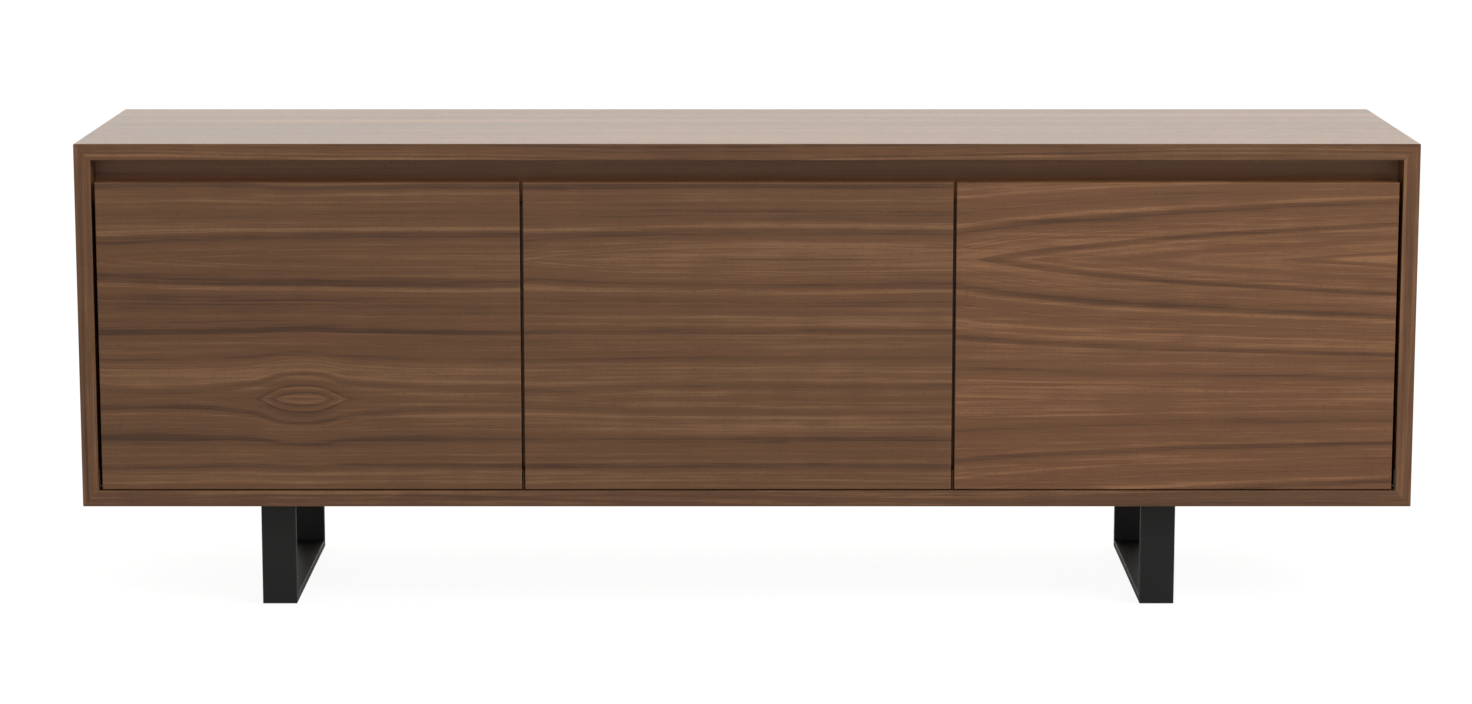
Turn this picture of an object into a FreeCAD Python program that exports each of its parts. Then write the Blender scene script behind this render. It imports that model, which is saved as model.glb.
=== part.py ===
"""Media cabinet: a mitred walnut case with three drop-down fronts on two black steel loop legs.

Frame: +Z up, +X to the right seen from the front, the fronts face -Y.
Origin: on the floor, under the middle of the case.  Millimetres and degrees.

Each front is a flap that turns on two pins close to its lower front edge.  Two slotted stays hold it:
a stay hangs on the flap at one end and slides over a stud on the case, and because the pin to stud
and the pin to stay distances are equal, the stay turns by exactly half of the flap's angle.
"""
import FreeCAD, Part
import Sketcher
import os
import re

SIZES = (
    ("CaseWidth", 1800, "outside width of the case"),
    ("CaseDepth", 450, "outside depth of the case"),
    ("CaseHeight", 494, "outside height of the case"),
    ("LegHeight", 146, "floor to the underside of the case"),
    ("Board", 22, "thickness of the case boards and the dividers"),
    ("Arris", 1, "how far the outside corners of the case are taken back"),
    ("BoardArris", 0.8, "rounding of the case boards' long edges"),
    ("FlapArris", 1.5, "rounding of a flap's front edges"),
    ("FlapBoard", 20, "thickness of a flap"),
    ("FingerGap", 30, "opening above the flaps for the fingers"),
    ("BottomGap", 1.5, "gap below the flaps"),
    ("SideGap", 5, "gap between an outer flap and the case side"),
    ("FlapGap", 4, "gap between two flaps"),
    ("LeftGapX", -302.5, "middle of the gap between the left and the centre flap"),
    ("RightGapX", 278.5, "middle of the gap between the centre and the right flap"),
    ("DividerSetback", 24, "front plane to the front edge of a divider"),
    ("RailSetback", 45, "front plane to the face of the finger rail"),
    ("RailBoard", 18, "thickness of the finger rail"),
    ("RailHeight", 62, "height of the finger rail"),
    ("BackBoard", 8, "thickness of a back panel"),
    ("BackInset", 3, "rear plane to the outside of a back panel"),
    ("BackSeam", 0.5, "gap between two back panels"),
    ("Rabbet", 8, "how far the back panels reach into the case boards"),
    ("PortRadius", 26, "clear radius of a cable port"),
    ("PortWall", 4, "wall of a cable grommet"),
    ("PortFlange", 10, "how far a grommet's flange stands out from its bore"),
    ("PortLip", 2, "thickness of a grommet's flange"),
    ("PortHeight", 92, "case floor to the middle of a cable port"),
    ("ShelfBoard", 18, "thickness of a shelf"),
    ("ShelfHeight", 184, "case floor to the underside of a shelf"),
    ("ShelfSetback", 75, "front plane to the front edge of a shelf"),
    ("ShelfPlay", 1, "gap at each end of a shelf"),
    ("ShelfRearGap", 9, "rear edge of a shelf to the back panel"),
    ("ShelfPinFront", 40, "front edge of a shelf to its front pins"),
    ("ShelfPinRear", 50, "back panel to a shelf's rear pins"),
    ("ShelfPinRadius", 2.5, "radius of a shelf pin"),
    ("ShelfPinHold", 10, "how far a shelf pin goes into the board"),
    ("ShelfPinReach", 9, "how far a shelf pin stands out"),
    ("SplineWidth", 16, "width of a mitre spline across the joint"),
    ("SplineBoard", 4, "thickness of a mitre spline"),
    ("SplineLength", 390, "length of a mitre spline, stopped short of the front and back"),
    ("DowelRadius", 4, "radius of a divider dowel"),
    ("DowelInCase", 12, "how far a dowel goes into the case board"),
    ("DowelInDivider", 18, "how far a dowel goes into the divider"),
    ("BackScrewRadius", 1.5, "shank radius of a back panel screw"),
    ("BackScrewHead", 3.5, "head radius of a back panel screw"),
    ("BackScrewCap", 1.5, "head height of a back panel screw"),
    ("BackScrewBite", 12, "how far a back panel screw goes into the case"),
    ("PivotInset", 4.5, "front face, and lower edge, of a flap to its pivot axis"),
    ("PivotPinRadius", 2, "radius of a pivot pin"),
    ("PinPlay", 0.05, "radial play of a pin in its bush or eye"),
    ("PivotPinHold", 10, "how far a pivot pin goes into the flap"),
    ("BushRadius", 2.9, "outside radius of a pivot bush"),
    ("BushLength", 12, "length of a pivot bush"),
    ("EndPlate", 2, "thickness of an end pivot plate"),
    ("MidPlate", 2, "thickness of a middle pivot plate"),
    ("PlateDepth", 33, "front to back length of an end pivot plate"),
    ("PlateHeight", 28, "height of a pivot plate"),
    ("PlateInset", 1.5, "front plane to the front edge of a pivot plate"),
    ("PlateLift", 0.5, "case floor to the lower edge of a pivot plate"),
    ("PlateTongue", 30, "how far a middle pivot plate is let into the divider"),
    ("StayRadius", 150, "pivot axis to the stay's eye, and to the stud"),
    ("StayLean", 9.1, "angle of the stay's eye behind the vertical through the pivot"),
    ("StaySpread", 12, "angle between the eye and the stud, seen from the pivot"),
    ("FlapSwing", 90, "how far a flap opens"),
    ("StayBar", 2.5, "thickness of a stay"),
    ("StayHalfWidth", 7, "half width of a stay"),
    ("StayStandoff", 6, "board face to the near face of a stay"),
    ("StudRadius", 3, "radius of the stud in the stay's slot"),
    ("SlotPlay", 0.2, "play of the stud in the slot"),
    ("StudShoulder", 4.5, "radius of the stud's shoulder"),
    ("StudHead", 5.5, "radius of the stud's head"),
    ("StudCap", 2, "thickness of the stud's head"),
    ("StudThread", 2, "radius of the stud's thread"),
    ("StudBite", 9, "how far the stud's thread goes into the board"),
    ("StudLap", 1, "how far one step of the stud runs into the next"),
    ("FaceGap", 0.3, "gap between faces that slide past each other"),
    ("EarPlate", 2.5, "thickness of a stay bracket's ear"),
    ("BasePlate", 2, "thickness of a stay bracket's base"),
    ("BracketBase", 24, "length of a stay bracket along the flap"),
    ("BracketHalfHeight", 14, "half height of a stay bracket's base"),
    ("RivetHead", 3.6, "head radius of the rivet in the stay's eye"),
    ("RivetCap", 1.2, "head thickness of the rivet in the stay's eye"),
    ("CatchInset", 110, "end of a flap to the middle of its catch"),
    ("CatchWidth", 40, "width of a magnetic catch"),
    ("CatchHeight", 14, "height of a magnetic catch"),
    ("CatchLow", 2, "lower edge of the finger rail to the underside of a catch"),
    ("MagnetWidth", 28, "width of a catch magnet"),
    ("MagnetHeight", 8, "height of a catch magnet"),
    ("MagnetDepth", 6, "depth of a catch magnet"),
    ("StrikeWidth", 36, "width of a strike plate"),
    ("StrikePlate", 1.5, "thickness of a strike plate"),
    ("LeftLegX", -640, "middle of the left leg"),
    ("RightLegX", 562, "middle of the right leg"),
    ("LegWidth", 47, "width of the legs' flat bar"),
    ("LegBar", 10, "thickness of the legs' flat bar"),
    ("LegInset", 40, "front plane to the front of a leg, and rear plane to its back"),
    ("LegArris", 0.8, "rounding of the bar's long edges"),
    ("GlideCap", 2, "thickness of a glide under a runner"),
    ("GlideRadius", 11, "radius of a glide"),
    ("GlideStem", 3, "radius of a glide's stem"),
    ("GlideBite", 7, "length of a glide's stem"),
    ("GlideInset", 28, "end of a runner to the middle of its glide"),
    ("LegScrewRadius", 2.5, "shank radius of a leg screw"),
    ("LegScrewHead", 5.5, "head radius of a leg screw"),
    ("LegScrewCap", 3, "head height of a leg screw"),
    ("LegScrewBite", 14, "how far a leg screw goes into the case floor"),
)

doc = FreeCAD.newDocument("MediaCabinet")
sheet = doc.addObject("Spreadsheet::Sheet", "Sizes")
for row, (alias, number, meaning) in enumerate(SIZES, 1):
    sheet.set(f"A{row}", meaning)
    sheet.set(f"B{row}", str(number))
    sheet.setAlias(f"B{row}", alias)
doc.recompute()

ALIAS = re.compile(r"\b(" + "|".join(alias for alias, _, _ in SIZES) + r")\b")

# Planes and heights that several pieces share, each worked out from the sheet.
FRONT = "(-CaseDepth / 2)"
REAR = "(CaseDepth / 2)"
UNDER = "(LegHeight)"
FLOOR = "(LegHeight + Board)"
CEILING = "(LegHeight + CaseHeight - Board)"
TOP = "(LegHeight + CaseHeight)"
HALF = "(CaseWidth / 2)"
INNER = "(CaseWidth / 2 - Board)"
FLAP_LOW = f"({FLOOR} + BottomGap)"
FLAP_HIGH = f"({CEILING} - FingerGap)"
FLAP_BACK = f"({FRONT} + FlapBoard)"
PIVOT_Y = f"({FRONT} + PivotInset)"
PIVOT_Z = f"({FLAP_LOW} + PivotInset)"
EYE_Y = f"({PIVOT_Y} + StayRadius * sin(StayLean))"
EYE_Z = f"({PIVOT_Z} + StayRadius * cos(StayLean))"
STUD_Y = f"({PIVOT_Y} + StayRadius * sin(StayLean + StaySpread))"
STUD_Z = f"({PIVOT_Z} + StayRadius * cos(StayLean + StaySpread))"
RAIL_FACE = f"({FRONT} + RailSetback)"
RAIL_BACK = f"({FRONT} + RailSetback + RailBoard)"
RAIL_LOW = f"({CEILING} - RailHeight)"
BACK_FACE = f"({REAR} - BackInset - BackBoard)"
BACK_OUTSIDE = f"({REAR} - BackInset)"
SHELF_LOW = f"({FLOOR} + ShelfHeight)"
LEG_FRONT = f"({FRONT} + LegInset)"
LEG_REAR = f"({REAR} - LegInset)"

# Shares of the case height, up from its floor, and of a leg's length, out from its middle.
BACK_SCREW_HEIGHTS = (0.08, 0.45, 0.82)
LEG_SCREW_PLACES = (-0.38, -0.13, 0.13, 0.38)

# The three bays from left to right: the board face on each side, and the two ends of the flap.
BAYS = {
    "left": (f"(-{INNER})", "(LeftGapX - Board / 2)",
             f"(-{INNER} + SideGap)", "(LeftGapX - FlapGap / 2)"),
    "centre": ("(LeftGapX + Board / 2)", "(RightGapX - Board / 2)",
               "(LeftGapX + FlapGap / 2)", "(RightGapX - FlapGap / 2)"),
    "right": ("(RightGapX + Board / 2)", f"({INNER})",
              "(RightGapX + FlapGap / 2)", f"({INNER} - SideGap)"),
}

AIM = {
    "x": FreeCAD.Rotation(FreeCAD.Vector(0, 1, 0), 90),
    "y": FreeCAD.Rotation(FreeCAD.Vector(1, 0, 0), -90),
    "z": FreeCAD.Rotation(),
}

subparts = []


# ---------------------------------------------------------------- building blocks

def spelled(text):
    """The same expression with every size read from the sheet."""
    return ALIAS.sub(r"Sizes.\1", text)


def bind(thing, prop, text):
    thing.setExpression(prop, spelled(text))


def number(text):
    """An expression's present value."""
    return float(sheet.evalExpression(text))


def box(label, low, high):
    """A rectangular piece between its lowest and highest corner."""
    piece = doc.addObject("Part::Box", label)
    for axis, side, start, end in zip("xyz", ("Length", "Width", "Height"), low, high):
        bind(piece, f"Placement.Base.{axis}", start)
        bind(piece, side, f"({end}) - ({start})")
    return piece


def rod(label, axis, start, radius, length):
    """A round piece that runs from its start along an axis."""
    piece = doc.addObject("Part::Cylinder", label)
    piece.Placement = FreeCAD.Placement(FreeCAD.Vector(), AIM[axis])
    for name, place in zip("xyz", start):
        bind(piece, f"Placement.Base.{name}", place)
    bind(piece, "Radius", radius)
    bind(piece, "Height", length)
    return piece


def fuse(label, pieces):
    joined = doc.addObject("Part::MultiFuse", label)
    joined.Shapes = pieces
    return joined


def cut(label, base, tools):
    """The base with every tool's space taken out of it."""
    tool = tools[0]
    if len(tools) > 1:
        tool = doc.addObject("Part::Compound", label + "_space")
        tool.Links = tools
    result = doc.addObject("Part::Cut", label)
    result.Base = base
    result.Tool = tool
    return result


def group(label, pieces):
    """Like pieces that share one node, each still a solid of its own."""
    together = doc.addObject("Part::Compound", label)
    together.Links = pieces
    return together


def keep(piece, label):
    """Marks a finished sub-part and gives it its name."""
    piece.Label = label
    subparts.append(piece)
    return piece


def extruded(label, plane, outline, length, start):
    """A body padded from a closed outline on one of its origin planes, along +Y or +X."""
    body = doc.addObject("PartDesign::Body", label + "_body")
    sketch = body.newObject("Sketcher::SketchObject", label + "_outline")
    support = [f for f in body.Origin.OriginFeatures if f.Role == plane][0]
    sketch.AttachmentSupport = (support, [""])
    sketch.MapMode = "FlatFace"
    corners = [FreeCAD.Vector(number(x), number(y), 0) for x, y in outline]
    for index, corner in enumerate(corners):
        after = corners[(index + 1) % len(corners)]
        sketch.addGeometry(Part.LineSegment(corner, after), False)
    for index in range(len(corners)):
        after = (index + 1) % len(corners)
        sketch.addConstraint(Sketcher.Constraint("Coincident", index, 2, after, 1))
    for index, (x, y) in enumerate(outline):
        for kind, place, text in (("DistanceX", corners[index].x, x), ("DistanceY", corners[index].y, y)):
            made = sketch.addConstraint(Sketcher.Constraint(kind, -1, 1, index, 1, place))
            bind(sketch, f"Constraints[{made}]", text)
    pad = body.newObject("PartDesign::Pad", label + "_pad")
    pad.Profile = sketch
    bind(pad, "Length", length)
    pad.Reversed = plane == "XZ_Plane"
    sketch.Visibility = False
    bind(body, f"Placement.Base.{'y' if plane == 'XZ_Plane' else 'x'}", start)
    doc.recompute()
    return body


def soften(body, wanted, radius):
    """Rounds the edges of a body's last feature that the test picks out."""
    base = body.Tip
    names = [f"Edge{i}" for i, edge in enumerate(base.Shape.Edges, 1) if wanted(edge)]
    rounding = body.newObject("PartDesign::Fillet", body.Name + "_arris")
    rounding.Base = (base, names)
    bind(rounding, "Radius", radius)
    body.Tip = rounding
    doc.recompute()
    return body


def along(axis, shortest):
    """A test for straight edges along an axis that are longer than a given length."""
    def wanted(edge):
        ends = [v.Point for v in edge.Vertexes]
        return len(ends) == 2 and edge.Length > shortest and abs(getattr(ends[1] - ends[0], axis)) > shortest
    return wanted


def span(face, side, near, far):
    """The two ends, lowest first, of a stretch measured from a board's face into the bay."""
    if side > 0:
        return f"{face} + {near}", f"{face} + {far}"
    return f"{face} - ({far})", f"{face} - ({near})"


def layered_rod(label, face, side, y, z, layers):
    """Coaxial round steps along X, each (near, far, radius) measured from a board's face."""
    steps = []
    for index, (near, far, radius) in enumerate(layers):
        low, high = span(face, side, near, far)
        steps.append(rod(f"{label}_step{index}", "x", (low, y, z), radius, f"({high}) - ({low})"))
    return fuse(label, steps)


def all_bays(make):
    """Makes one thing at each side of each bay and returns them by (bay, side)."""
    made = {}
    for bay, (left_face, right_face, _, _) in BAYS.items():
        made[bay, "left"] = make(f"{bay}_left", left_face, 1)
        made[bay, "right"] = make(f"{bay}_right", right_face, -1)
    return made


# ---------------------------------------------------------------- fixings that go into the boards

def make_splines():
    """Four plywood splines, one across the inside of each mitre."""
    middle = f"({HALF} - Board / 2)"
    reach = "(SplineWidth / 2 * sqrt(2) / 2)"
    thin = "(SplineBoard / 2 * sqrt(2) / 2)"
    pieces = []
    for name, sx, height, sz in (("tl", -1, f"({TOP} - Board / 2)", 1), ("tr", 1, f"({TOP} - Board / 2)", 1),
                                 ("bl", -1, f"({UNDER} + Board / 2)", -1), ("br", 1, f"({UNDER} + Board / 2)", -1)):
        across = ((reach, reach), (thin, thin))
        outline = []
        for u, v in ((1, 1), (1, -1), (-1, -1), (-1, 1)):
            x = f"{sx} * ({middle} + {u} * {across[0][0]} - {v} * {across[1][0]})"
            z = f"{height} + {sz} * (-{u} * {across[0][1]} - {v} * {across[1][1]})"
            outline.append((x, z))
        pieces.append(extruded(f"spline_{name}", "XZ_Plane", outline, "SplineLength", "-SplineLength / 2"))
    return keep(group("mitre_splines", pieces), "mitre_splines")


def make_dowels():
    """Two dowels above and two below each divider."""
    pieces = []
    length = "DowelInCase + DowelInDivider"
    for side, x in (("left", "LeftGapX"), ("right", "RightGapX")):
        for place, y in (("front", "-CaseDepth / 5"), ("rear", "CaseDepth / 3")):
            low = rod(f"dowel_{side}_{place}_low", "z", (x, y, f"{FLOOR} - DowelInCase"), "DowelRadius", length)
            high = rod(f"dowel_{side}_{place}_high", "z", (x, y, f"{CEILING} - DowelInDivider"),
                       "DowelRadius", length)
            pieces += [low, high]
    return keep(group("divider_dowels", pieces), "divider_dowels")


def make_shelf_pins():
    """Four round pins under each shelf."""
    z = f"{SHELF_LOW} - ShelfPinRadius"
    pieces = []
    for place, y in (("front", f"{FRONT} + ShelfSetback + ShelfPinFront"),
                     ("rear", f"{BACK_FACE} - ShelfPinRear")):
        def pin(name, face, side, place=place, y=y):
            low, high = span(face, side, "(-ShelfPinHold)", "ShelfPinReach")
            return rod(f"pin_{name}_{place}", "x", (low, y, z), "ShelfPinRadius", f"({high}) - ({low})")
        pieces += list(all_bays(pin).values())
    return keep(group("shelf_pins", pieces), "shelf_pins")


def make_studs():
    """The shouldered studs that the stays slide on."""
    stay_far = "(StayStandoff + StayBar + FaceGap)"

    def stud(name, face, side):
        return layered_rod(f"stud_{name}", face, side, STUD_Y, STUD_Z, (
            ("(-StudBite)", "StudLap", "StudThread"),
            ("0", "(StayStandoff - FaceGap)", "StudShoulder"),
            ("StudLap", f"({stay_far} + StudLap)", "StudRadius"),
            (stay_far, f"({stay_far} + StudCap)", "StudHead")))
    return keep(group("stay_studs", list(all_bays(stud).values())), "stay_studs")


def back_screw_columns():
    """X and Z of every back panel screw: three up each edge and one at mid-width above and below."""
    places = []
    edges = {
        "left": (f"-{INNER} - Rabbet / 2", "LeftGapX - Board / 4"),
        "centre": ("LeftGapX + Board / 4", "RightGapX - Board / 4"),
        "right": ("RightGapX + Board / 4", f"{INNER} + Rabbet / 2"),
    }
    for bay, ends in edges.items():
        for x in ends:
            places += [(x, f"{FLOOR} + CaseHeight * {part}") for part in BACK_SCREW_HEIGHTS]
        middle = f"(({ends[0]}) + ({ends[1]})) / 2"
        places += [(middle, f"{FLOOR} - Rabbet / 2"), (middle, f"{CEILING} + Rabbet / 2")]
    return places


def make_back_screws():
    pieces = []
    for index, (x, z) in enumerate(back_screw_columns()):
        shank = rod(f"back_shank_{index}", "y", (x, f"{BACK_FACE} - BackScrewBite", z),
                    "BackScrewRadius", "BackScrewBite + BackBoard + BackScrewCap / 2")
        head = rod(f"back_head_{index}", "y", (x, BACK_OUTSIDE, z), "BackScrewHead", "BackScrewCap")
        pieces.append(fuse(f"back_screw_{index}", [shank, head]))
    return keep(group("back_panel_screws", pieces), "back_panel_screws")


def make_leg_screws():
    """Four pan-head screws up through each leg's top bar into the case floor."""
    pieces = []
    for side, x in (("left", "LeftLegX"), ("right", "RightLegX")):
        for index, part in enumerate(LEG_SCREW_PLACES):
            y = f"({LEG_REAR} - {LEG_FRONT}) * {part}"
            shank = rod(f"leg_shank_{side}_{index}", "z", (x, y, f"{UNDER} - LegBar - LegScrewCap / 2"),
                        "LegScrewRadius", "LegScrewCap / 2 + LegBar + LegScrewBite")
            head = rod(f"leg_head_{side}_{index}", "z", (x, y, f"{UNDER} - LegBar - LegScrewCap"),
                       "LegScrewHead", "LegScrewCap")
            pieces.append(fuse(f"leg_screw_{side}_{index}", [shank, head]))
    return keep(group("leg_screws", pieces), "leg_screws")


# ---------------------------------------------------------------- the case

def make_case(splines, dowels, pins, studs, back_screws, leg_screws, tongues):
    """Top, floor and sides mitred into one box, rabbeted behind for the back panels."""
    rabbet = box("rabbet_space",
                 (f"-{INNER} - Rabbet", BACK_FACE, f"{FLOOR} - Rabbet"),
                 (f"{INNER} + Rabbet", f"{REAR} + Board", f"{CEILING} + Rabbet"))
    bevel = "Arris / 2"
    roof = [(f"-{HALF} + {bevel}", f"{TOP} - {bevel}"), (f"-{HALF} + Arris", TOP),
            (f"{HALF} - Arris", TOP), (f"{HALF} - {bevel}", f"{TOP} - {bevel}"),
            (INNER, CEILING), (f"-{INNER}", CEILING)]
    base = [(f"-{HALF} + {bevel}", f"{UNDER} + {bevel}"), (f"-{HALF} + Arris", UNDER),
            (f"{HALF} - Arris", UNDER), (f"{HALF} - {bevel}", f"{UNDER} + {bevel}"),
            (INNER, FLOOR), (f"-{INNER}", FLOOR)]

    def wall(sign):
        return [(f"{sign} * ({HALF} - {bevel})", f"{TOP} - {bevel}"), (f"{sign} * {HALF}", f"{TOP} - Arris"),
                (f"{sign} * {HALF}", f"{UNDER} + Arris"), (f"{sign} * ({HALF} - {bevel})", f"{UNDER} + {bevel}"),
                (f"{sign} * {INNER}", FLOOR), (f"{sign} * {INNER}", CEILING)]

    for label, outline, axis, tools in (
            ("top_panel", roof, "x", [rabbet, splines, dowels, back_screws]),
            ("bottom_panel", base, "x", [rabbet, splines, dowels, back_screws, leg_screws]),
            ("left_side_panel", wall(-1), "z", [rabbet, splines, pins, studs, back_screws]),
            ("right_side_panel", wall(1), "z", [rabbet, splines, pins, studs, back_screws])):
        board = extruded(label, "XZ_Plane", outline, "CaseDepth", FRONT)
        soften(board, along(axis, 100), "BoardArris")
        keep(cut(label, board, tools), label)

    for side, x in (("left", "LeftGapX"), ("right", "RightGapX")):
        board = box(f"{side}_divider_board",
                    (f"{x} - Board / 2", f"{FRONT} + DividerSetback", FLOOR),
                    (f"{x} + Board / 2", BACK_FACE, CEILING))
        notch = box(f"{side}_divider_notch",
                    (f"{x} - Board", FRONT, RAIL_LOW),
                    (f"{x} + Board", RAIL_BACK, f"{CEILING} + Board"))
        label = f"{side}_divider"
        keep(cut(label, board, [notch, tongues[side], dowels, pins, studs, back_screws]), label)

    keep(box("finger_rail", (f"-{INNER}", RAIL_FACE, RAIL_LOW), (INNER, RAIL_BACK, CEILING)), "finger_rail")


def make_backs(back_screws):
    """One back panel for each bay, each with a cable port lined by a grommet."""
    seams = {
        "left": (f"-{INNER} - Rabbet", "LeftGapX - BackSeam / 2"),
        "centre": ("LeftGapX + BackSeam / 2", "RightGapX - BackSeam / 2"),
        "right": ("RightGapX + BackSeam / 2", f"{INNER} + Rabbet"),
    }
    for bay, (low, high) in seams.items():
        x = f"(({BAYS[bay][0]}) + ({BAYS[bay][1]})) / 2"
        z = f"{FLOOR} + PortHeight"
        sheet_board = box(f"{bay}_back_board", (low, BACK_FACE, f"{FLOOR} - Rabbet"),
                          (high, BACK_OUTSIDE, f"{CEILING} + Rabbet"))
        sleeve = rod(f"{bay}_grommet_sleeve", "y", (x, f"{BACK_FACE} - PortLip", z),
                     "PortRadius + PortWall", "BackBoard + 2 * PortLip")
        inner = rod(f"{bay}_grommet_inner", "y", (x, f"{BACK_FACE} - PortLip", z),
                    "PortRadius + PortFlange", "PortLip")
        outer = rod(f"{bay}_grommet_outer", "y", (x, BACK_OUTSIDE, z), "PortRadius + PortFlange", "PortLip")
        bore = rod(f"{bay}_grommet_bore", "y", (x, f"{BACK_FACE} - Board", z), "PortRadius", "3 * Board")
        keep(cut(f"{bay}_back_panel", sheet_board, [sleeve, back_screws]), f"{bay}_back_panel")
        body = fuse(f"{bay}_grommet_body", [sleeve, inner, outer])
        keep(cut(f"{bay}_cable_grommet", body, [bore]), f"{bay}_cable_grommet")


def make_shelves():
    for bay, (left_face, right_face, _, _) in BAYS.items():
        label = f"{bay}_shelf"
        keep(box(label, (f"{left_face} + ShelfPlay", f"{FRONT} + ShelfSetback", SHELF_LOW),
                 (f"{right_face} - ShelfPlay", f"{BACK_FACE} - ShelfRearGap", f"{SHELF_LOW} + ShelfBoard")), label)


# ---------------------------------------------------------------- flaps and what they turn on

def make_pivots():
    """End plates on the case sides and middle plates let into the dividers, pins riveted in."""
    low = f"({FLOOR} + PlateLift)"
    high = f"({low} + PlateHeight)"
    front = f"({FRONT} + PlateInset)"
    for label, face, side in (("left_end_pivot", f"(-{INNER})", 1), ("right_end_pivot", f"({INNER})", -1)):
        near, far = span(face, side, "0", "EndPlate")
        plate = box(f"{label}_plate", (near, front, low), (far, f"{front} + PlateDepth", high))
        start, end = span(face, side, "EndPlate / 2", "(SideGap + PivotPinHold)")
        pin = rod(f"{label}_pin", "x", (start, PIVOT_Y, PIVOT_Z), "PivotPinRadius", f"({end}) - ({start})")
        keep(fuse(label, [plate, pin]), label)
    tongues = {}
    for side, x in (("left", "LeftGapX"), ("right", "RightGapX")):
        label = f"{side}_mid_pivot"
        plate = box(f"{label}_plate", (f"{x} - MidPlate / 2", front, low),
                    (f"{x} + MidPlate / 2", f"{FRONT} + DividerSetback + PlateTongue", high))
        pin = rod(f"{label}_pin", "x", (f"{x} - FlapGap / 2 - PivotPinHold", PIVOT_Y, PIVOT_Z),
                  "PivotPinRadius", "FlapGap + 2 * PivotPinHold")
        keep(fuse(label, [plate, pin]), label)
        tongues[side] = plate
    return tongues


def on_front(edge):
    """A test for the edges round a flap's front face, in the flap's own outline."""
    return all(abs(v.Point.y - number(FRONT)) < 1e-6 for v in edge.Vertexes)


def make_flap(bay, left_end, right_end):
    """The flap board with a plastic bush in each end."""
    outline = [(FRONT, FLAP_LOW), (FLAP_BACK, FLAP_LOW), (FLAP_BACK, FLAP_HIGH), (FRONT, FLAP_HIGH)]
    board = extruded(f"{bay}_flap", "YZ_Plane", outline, f"({right_end}) - ({left_end})", left_end)
    soften(board, on_front, "FlapArris")
    plugs = []
    bushes = []
    for side, start in (("left", left_end), ("right", f"({right_end} - BushLength)")):
        place = (start, PIVOT_Y, PIVOT_Z)
        plug = rod(f"{bay}_{side}_bush_plug", "x", place, "BushRadius", "BushLength")
        bore = rod(f"{bay}_{side}_bush_bore", "x", place, "PivotPinRadius + PinPlay", "BushLength")
        plugs.append(plug)
        bushes.append(cut(f"{bay}_{side}_bush", plug, [bore]))
    keep(cut(f"{bay}_flap", board, plugs), f"{bay}_flap")
    keep(group(f"{bay}_pivot_bushes", bushes), f"{bay}_pivot_bushes")


def make_bracket(name, face, side):
    """An angle on the flap's inner face that carries the stay's eye on a rivet."""
    ear_near = "(StayStandoff + StayBar + FaceGap)"
    ear_far = f"({ear_near} + EarPlate)"
    low, high = span(face, side, ear_near, f"({ear_near} + BracketBase)")
    base = box(f"{name}_bracket_base", (low, FLAP_BACK, f"{EYE_Z} - BracketHalfHeight"),
               (high, f"{FLAP_BACK} + BasePlate", f"{EYE_Z} + BracketHalfHeight"))
    low, high = span(face, side, ear_near, ear_far)
    ear = box(f"{name}_bracket_ear", (low, FLAP_BACK, f"{EYE_Z} - StayHalfWidth"),
              (high, EYE_Y, f"{EYE_Z} + StayHalfWidth"))
    nose = rod(f"{name}_bracket_nose", "x", (low, EYE_Y, EYE_Z), "StayHalfWidth", "EarPlate")
    rivet = layered_rod(f"{name}_rivet", face, side, EYE_Y, EYE_Z, (
        ("(StayStandoff - FaceGap - RivetCap)", "(StayStandoff - FaceGap)", "RivetHead"),
        ("(StayStandoff - FaceGap - RivetCap / 2)", ear_far, "PivotPinRadius")))
    return fuse(f"{name}_bracket", [base, ear, nose, rivet])


def make_stay(name, face, side):
    """A flat bar with a round eye and a long slot, lying from the eye down and back to the stud."""
    first = "(2 * StayRadius * sin(StaySpread / 2))"
    last = "(2 * StayRadius * sin((StaySpread + FlapSwing) / 2))"
    slot_half = "(StudRadius + SlotPlay)"

    def rounded_bar(part, start, end, half, thick):
        middle = box(f"{name}_{part}_bar", ("0", start, f"-{half}"), (thick, end, half))
        ends = [rod(f"{name}_{part}_end{i}", "x", ("0", y, "0"), half, thick) for i, y in enumerate((start, end))]
        return fuse(f"{name}_{part}", [middle] + ends)

    outside = rounded_bar("stay_outside", "0", last, "StayHalfWidth", "StayBar")
    slot = rounded_bar("stay_slot", first, last, slot_half, "StayBar")
    eye = rod(f"{name}_stay_eye", "x", ("0", "0", "0"), "PivotPinRadius + PinPlay", "StayBar")
    stay = cut(f"{name}_stay", outside, [slot, eye])
    # A rotation of nothing has no axis, so it starts at one degree and the sheet then sets its angle.
    stay.Placement = FreeCAD.Placement(FreeCAD.Vector(), FreeCAD.Rotation(FreeCAD.Vector(-1, 0, 0), 1))
    low, _ = span(face, side, "StayStandoff", "(StayStandoff + StayBar)")
    bind(stay, "Placement.Base.x", low)
    bind(stay, "Placement.Base.y", EYE_Y)
    bind(stay, "Placement.Base.z", EYE_Z)
    bind(stay, "Placement.Rotation.Angle", "StayLean + StaySpread / 2")
    return keep(stay, f"{name}_stay")


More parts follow.
